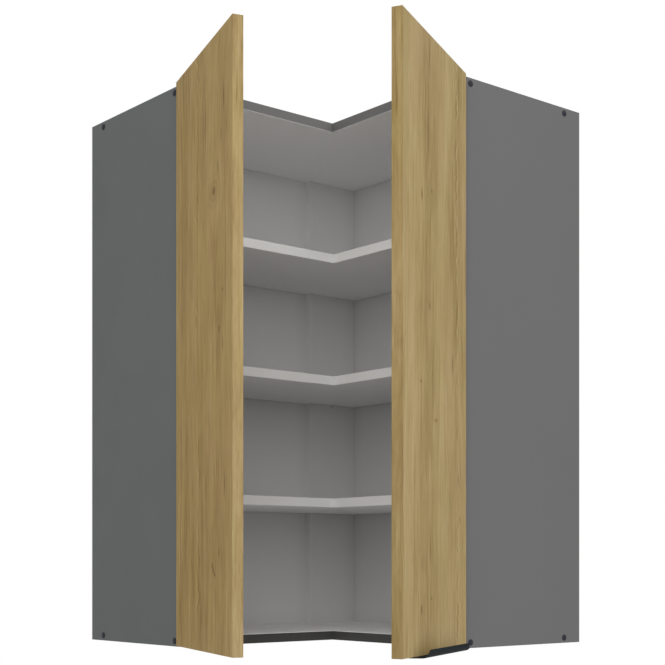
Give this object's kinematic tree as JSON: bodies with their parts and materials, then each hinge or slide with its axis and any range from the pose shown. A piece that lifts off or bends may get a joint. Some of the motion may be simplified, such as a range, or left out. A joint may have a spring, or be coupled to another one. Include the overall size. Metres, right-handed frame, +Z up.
{
  "type": "corner wall cabinet",
  "caption": "L-shaped hanging corner wall cabinet with hinged doors, L-shaped shelves, concealed hinges, wall hangers and a slim edge pull on one door.",
  "frame": {"origin": "corner of the room where the two walls meet, level with the lower end of the side panels; the wall plane of the right leg is Y = 0 and that of the left leg is X = 0", "axes": "+X along the right leg, -Y along the left leg, +Z up"},
  "size_m": [0.74, 0.7019, 0.9],
  "materials": {
    "graphite_board": "graphite grey melamine facing on chipboard, light grey on the inner faces",
    "light_grey_board": "light grey melamine facing on chipboard",
    "grey_hardboard": "light grey lacquered thin hardboard",
    "oak_front": "oak decor with vertical grain, satin",
    "black_metal": "black powder coat",
    "nickel_steel": "nickel plated pressed steel",
    "steel": "zinc plated steel",
    "white_plastic": "white moulded plastic",
    "dark_plastic": "dark grey moulded plastic"
  },
  "bodies": {
    "cabinet": {"top_panel": "graphite_board", "bottom_panel": "graphite_board", "shelf_1": "light_grey_board", "shelf_2": "light_grey_board", "shelf_3": "light_grey_board", "corner_post": "light_grey_board", "side_panel_left": "graphite_board", "back_panel_left": "grey_hardboard", "hanger_housing_left": "white_plastic", "hanger_hook_left": "steel", "wall_rail_left": "steel", "screw_cap_left_lower_back": "dark_plastic", "screw_cap_left_lower_front": "dark_plastic", "screw_cap_left_upper_back": "dark_plastic", "screw_cap_left_upper_front": "dark_plastic", "shelf_pin_1_left_back": "steel", "shelf_pin_1_left_front": "steel", "shelf_pin_2_left_back": "steel", "shelf_pin_2_left_front": "steel", "shelf_pin_3_left_back": "steel", "shelf_pin_3_left_front": "steel", "hinge_plate_left_lower": "nickel_steel", "hinge_arm_left_lower": "nickel_steel", "hinge_plate_left_upper": "nickel_steel", "hinge_arm_left_upper": "nickel_steel", "side_panel_right": "graphite_board", "back_panel_right": "grey_hardboard", "hanger_housing_right": "white_plastic", "hanger_hook_right": "steel", "wall_rail_right": "steel", "screw_cap_right_lower_back": "dark_plastic", "screw_cap_right_lower_front": "dark_plastic", "screw_cap_right_upper_back": "dark_plastic", "screw_cap_right_upper_front": "dark_plastic", "shelf_pin_1_right_back": "steel", "shelf_pin_1_right_front": "steel", "shelf_pin_2_right_back": "steel", "shelf_pin_2_right_front": "steel", "shelf_pin_3_right_back": "steel", "shelf_pin_3_right_front": "steel", "hinge_plate_right_lower": "nickel_steel", "hinge_arm_right_lower": "nickel_steel", "hinge_plate_right_upper": "nickel_steel", "hinge_arm_right_upper": "nickel_steel", "shelf_pin_1_post": "steel", "shelf_pin_2_post": "steel", "shelf_pin_3_post": "steel"},
    "left_door": {"door_left": "oak_front", "hinge_cup_left_lower": "nickel_steel", "hinge_cup_left_upper": "nickel_steel"},
    "right_door": {"door_right": "oak_front", "hinge_cup_right_lower": "nickel_steel", "hinge_cup_right_upper": "nickel_steel", "door_pull": "black_metal"},
    "left_hinge_links": {"hinge_link_left_lower": "nickel_steel", "hinge_link_left_upper": "nickel_steel"},
    "right_hinge_links": {"hinge_link_right_lower": "nickel_steel", "hinge_link_right_upper": "nickel_steel"}
  },
  "joints": [
    {"name": "left_door_swing", "type": "hinge", "parent": "cabinet", "child": "left_door", "pos_m": [0.292, -0.59565, 0.4505], "axis": [0, 0, 1], "range_deg": [-12, 108]},
    {"name": "right_door_swing", "type": "hinge", "parent": "cabinet", "child": "right_door", "pos_m": [0.59565, -0.292, 0.4505], "axis": [0, 0, -1], "range_deg": [-3, 117]},
    {"name": "left_link_fold", "type": "hinge", "parent": "cabinet", "child": "left_hinge_links", "pos_m": [0.3019, -0.58875, 0.4505], "axis": [0, 0, 1], "range_deg": [-17.62, 157.78]},
    {"name": "right_link_fold", "type": "hinge", "parent": "cabinet", "child": "right_hinge_links", "pos_m": [0.58875, -0.3019, 0.4505], "axis": [0, 0, -1], "range_deg": [-4.48, 170.92]}
  ],
  "couplings": [
    {"joint": "left_link_fold", "follows": "left_door_swing", "ratio": 1.46},
    {"joint": "right_link_fold", "follows": "right_door_swing", "ratio": 1.46}
  ]
}
